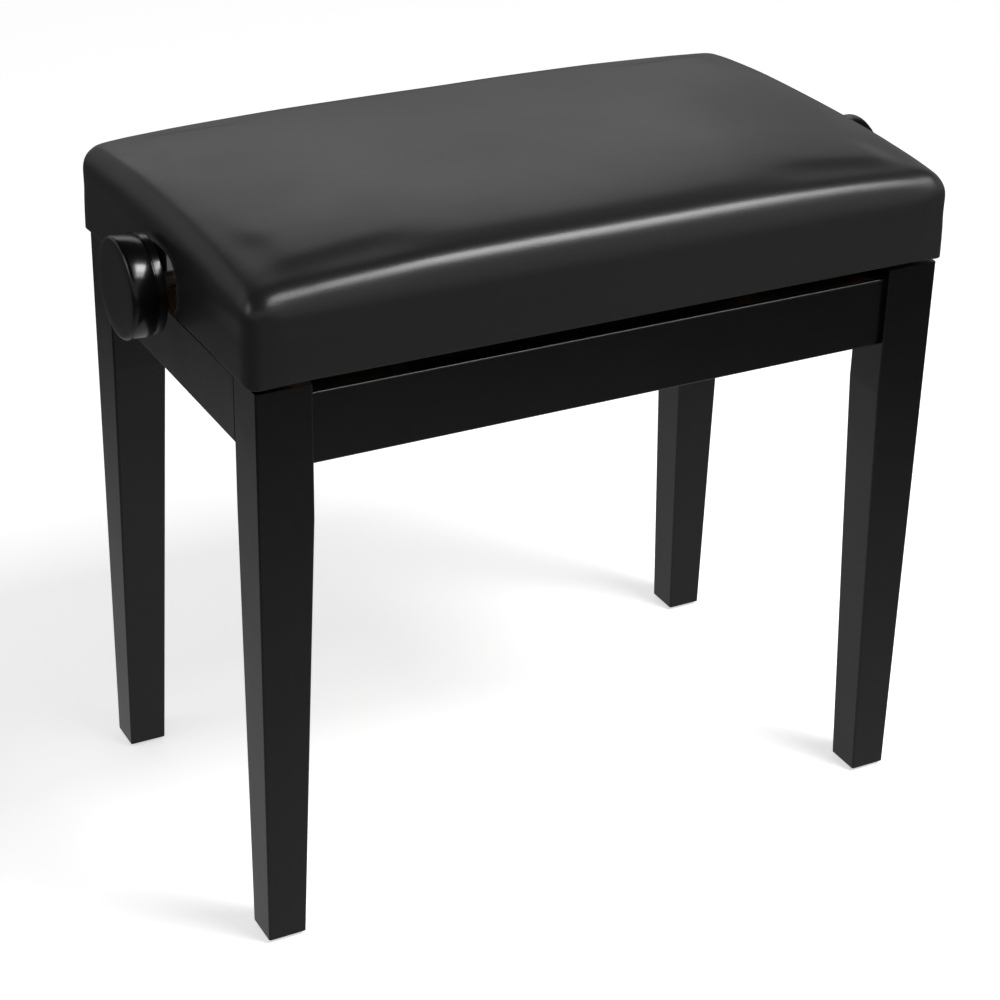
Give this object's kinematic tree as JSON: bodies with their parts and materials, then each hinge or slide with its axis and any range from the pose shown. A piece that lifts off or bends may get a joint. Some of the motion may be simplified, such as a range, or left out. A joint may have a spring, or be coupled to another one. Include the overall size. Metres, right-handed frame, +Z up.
{
  "type": "piano bench",
  "caption": "Height-adjustable piano bench: padded leatherette seat on a scissor lift driven by a knobbed spindle, in a black wooden frame on tapered legs.",
  "frame": {"origin": "on the floor, under the middle of the bench", "axes": "+X along the bench and along the spindle, -Y towards the front, +Z up"},
  "size_m": [0.613, 0.326, 0.5191],
  "materials": {
    "black_lacquer": "satin black lacquer",
    "leatherette": "smooth, soft sheen",
    "foam": "open polyurethane foam",
    "plywood": "raw birch plywood",
    "pine": "raw planed boards",
    "beech": "raw",
    "nylon": "moulded",
    "brass": "turned",
    "zinc_steel": "bright zinc",
    "black_steel": "black powder coat"
  },
  "bodies": {
    "base": {"leg_front_left": "black_lacquer", "leg_front_right": "black_lacquer", "leg_back_left": "black_lacquer", "leg_back_right": "black_lacquer", "front_rail": "black_lacquer", "back_rail": "black_lacquer", "left_rail": "black_lacquer", "right_rail": "black_lacquer", "foot_glides": "nylon", "side_rail_dowels": "beech", "corner_brackets": "zinc_steel", "bracket_screws": "zinc_steel", "leg_bolts": "zinc_steel", "leg_inserts": "brass", "lower_bar_front": "black_steel", "lower_bar_back": "black_steel", "lower_bar_screws": "zinc_steel", "bearing_plate_left": "zinc_steel", "bearing_plate_right": "zinc_steel", "bearing_plate_screws": "zinc_steel", "spindle_bush_left": "nylon", "spindle_bush_right": "nylon", "base_pivot_pins": "zinc_steel", "base_pivot_spacers": "zinc_steel", "base_pivot_clips": "zinc_steel"},
    "spindle": {"spindle": "zinc_steel", "knob_left": "black_lacquer", "knob_right": "black_lacquer", "spindle_collars": "zinc_steel", "grub_screws": "black_steel"},
    "outer_arms": {"outer_arm_front": "black_steel", "outer_arm_back": "black_steel", "middle_pivot_pins": "zinc_steel", "middle_washers": "zinc_steel", "upper_slide_rod": "zinc_steel", "slide_rod_spacers": "zinc_steel", "slide_rod_clips": "zinc_steel"},
    "inner_arms": {"inner_arm_front": "black_steel", "inner_arm_back": "black_steel"},
    "nut": {"spindle_nut": "zinc_steel", "nut_cross_rods": "zinc_steel", "nut_rod_spacers": "zinc_steel", "nut_rod_clips": "zinc_steel"},
    "seat": {"seat_board": "plywood", "seat_frame_front": "pine", "seat_frame_back": "pine", "seat_frame_left": "pine", "seat_frame_right": "pine", "seat_frame_blocks": "pine", "seat_board_screws": "zinc_steel", "upper_bar_front": "black_steel", "upper_bar_back": "black_steel", "upper_bar_screws": "zinc_steel", "seat_pivot_pins": "zinc_steel", "seat_pivot_spacers": "zinc_steel", "seat_pivot_clips": "zinc_steel", "seat_foam": "foam", "seat_cover": "leatherette"}
  },
  "joints": [
    {"name": "spindle_turn", "type": "hinge", "parent": "base", "child": "spindle", "pos_m": [0, 0, 0.461], "axis": [1, 0, 0], "range_deg": [0, 3006]},
    {"name": "outer_arm_swing", "type": "hinge", "parent": "base", "child": "outer_arms", "pos_m": [-0.14, 0, 0.45], "axis": [0, -1, 0], "range_deg": [0, 19.2]},
    {"name": "inner_arm_swing", "type": "hinge", "parent": "outer_arms", "child": "inner_arms", "pos_m": [-0.00075, 0, 0.4645], "axis": [0, -1, 0], "range_deg": [-38.44, 0]},
    {"name": "nut_swivel", "type": "hinge", "parent": "inner_arms", "child": "nut", "pos_m": [0.13849, 0, 0.45], "axis": [0, -1, 0], "range_deg": [0, 19.22]},
    {"name": "seat_level", "type": "hinge", "parent": "inner_arms", "child": "seat", "pos_m": [-0.14, 0, 0.479], "axis": [0, -1, 0], "range_deg": [0, 19.22]}
  ],
  "couplings": [
    {"joint": "inner_arm_swing", "follows": "outer_arm_swing", "ratio": -2},
    {"joint": "nut_swivel", "follows": "outer_arm_swing", "ratio": 1},
    {"joint": "seat_level", "follows": "outer_arm_swing", "ratio": 1},
    {"joint": "spindle_turn", "follows": "outer_arm_swing", "ratio": 156.45}
  ]
}
